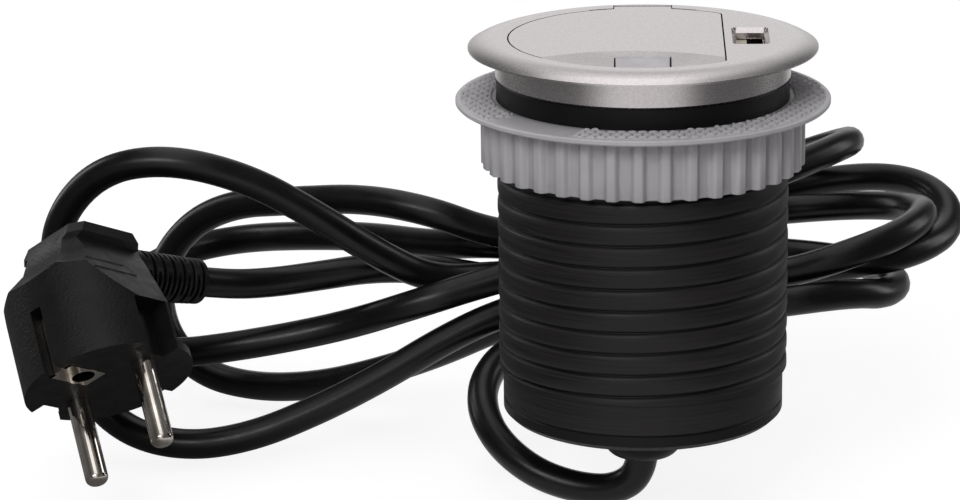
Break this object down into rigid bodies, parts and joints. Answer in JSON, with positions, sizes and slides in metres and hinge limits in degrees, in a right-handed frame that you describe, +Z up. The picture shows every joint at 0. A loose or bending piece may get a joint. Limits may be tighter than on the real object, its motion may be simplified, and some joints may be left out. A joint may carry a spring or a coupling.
{
  "type": "recessed desk socket",
  "caption": "Round recessed desk socket: hinged lid over an earthed outlet, USB mouth beside it, threaded barrel with a clamp nut, and a cord with an angled plug.",
  "frame": {"origin": "centre of the rim's underside, the face that rests on the desk", "axes": "+Z up out of the desk along the barrel's axis, -Y towards the user and the latch button, +X towards the USB mouth"},
  "size_m": [0.2059, 0.156, 0.1003],
  "materials": {
    "satin_metal": "satin",
    "button_plastic": "satin",
    "spring_steel": "bright",
    "black_plastic": "satin",
    "grey_plastic": "matte",
    "pale_plastic": "satin",
    "brass": "bright",
    "nickel": "bright",
    "board": "satin",
    "core": "satin",
    "can": "satin",
    "black_pvc": "gloss"
  },
  "bodies": {
    "housing": {"rim_bezel": "satin_metal", "hinge_pin": "spring_steel", "latch_spring": "spring_steel", "socket_insert": "black_plastic", "earth_bracket": "nickel", "live_contact": "brass", "neutral_contact": "brass", "shutter_spring": "spring_steel", "contact_carrier": "pale_plastic", "terminal_block": "pale_plastic", "terminal_screws": "spring_steel", "usb_shell": "nickel", "usb_tongue": "pale_plastic", "usb_board": "board", "usb_transformer": "core", "usb_capacitors": "can", "threaded_barrel": "black_plastic", "bottom_cap": "black_plastic", "cap_screws": "spring_steel", "cable_gland": "black_plastic", "gland_nut": "black_plastic", "cord_clamp": "pale_plastic", "cord_exit": "black_pvc", "cord_hank": "black_pvc", "cord_lead": "black_pvc", "cord_tie": "black_pvc", "plug_body": "black_pvc", "plug_pins": "nickel", "plug_earth_strips": "nickel", "plug_earth_socket": "nickel", "plug_relief": "black_pvc"},
    "lid": {"lid": "satin_metal"},
    "latch": {"latch_button": "button_plastic"},
    "shutter": {"child_shutter": "pale_plastic"},
    "clamp_washer": {"clamp_washer": "grey_plastic"},
    "clamp_nut": {"clamp_nut": "grey_plastic"}
  },
  "joints": [
    {"name": "lid_hinge", "type": "hinge", "parent": "housing", "child": "lid", "pos_m": [0, 0.0282, 0.0006], "axis": [-1, 0, 0], "range_deg": [0, 95]},
    {"name": "latch_press", "type": "slide", "parent": "lid", "child": "latch", "axis": [0, 0, -1], "range_m": [0, 0.0008], "stiffness_N_per_m": 900, "springref_m": -0.001, "deforming": ["latch_spring"]},
    {"name": "shutter_slide", "type": "slide", "parent": "housing", "child": "shutter", "axis": [0, -1, 0], "range_m": [0, 0.0055], "stiffness_N_per_m": 150, "springref_m": -0.002},
    {"name": "clamp_slide", "type": "slide", "parent": "housing", "child": "clamp_washer", "axis": [0, 0, 1], "range_m": [-0.042, 0.0035]},
    {"name": "nut_spin", "type": "hinge", "parent": "clamp_washer", "child": "clamp_nut", "pos_m": [0, 0, -0.0175], "axis": [0, 0, 1], "range_deg": [-3436, 286]}
  ],
  "couplings": [
    {"joint": "clamp_slide", "follows": "nut_spin", "m_per_rad": 0.00070028}
  ]
}
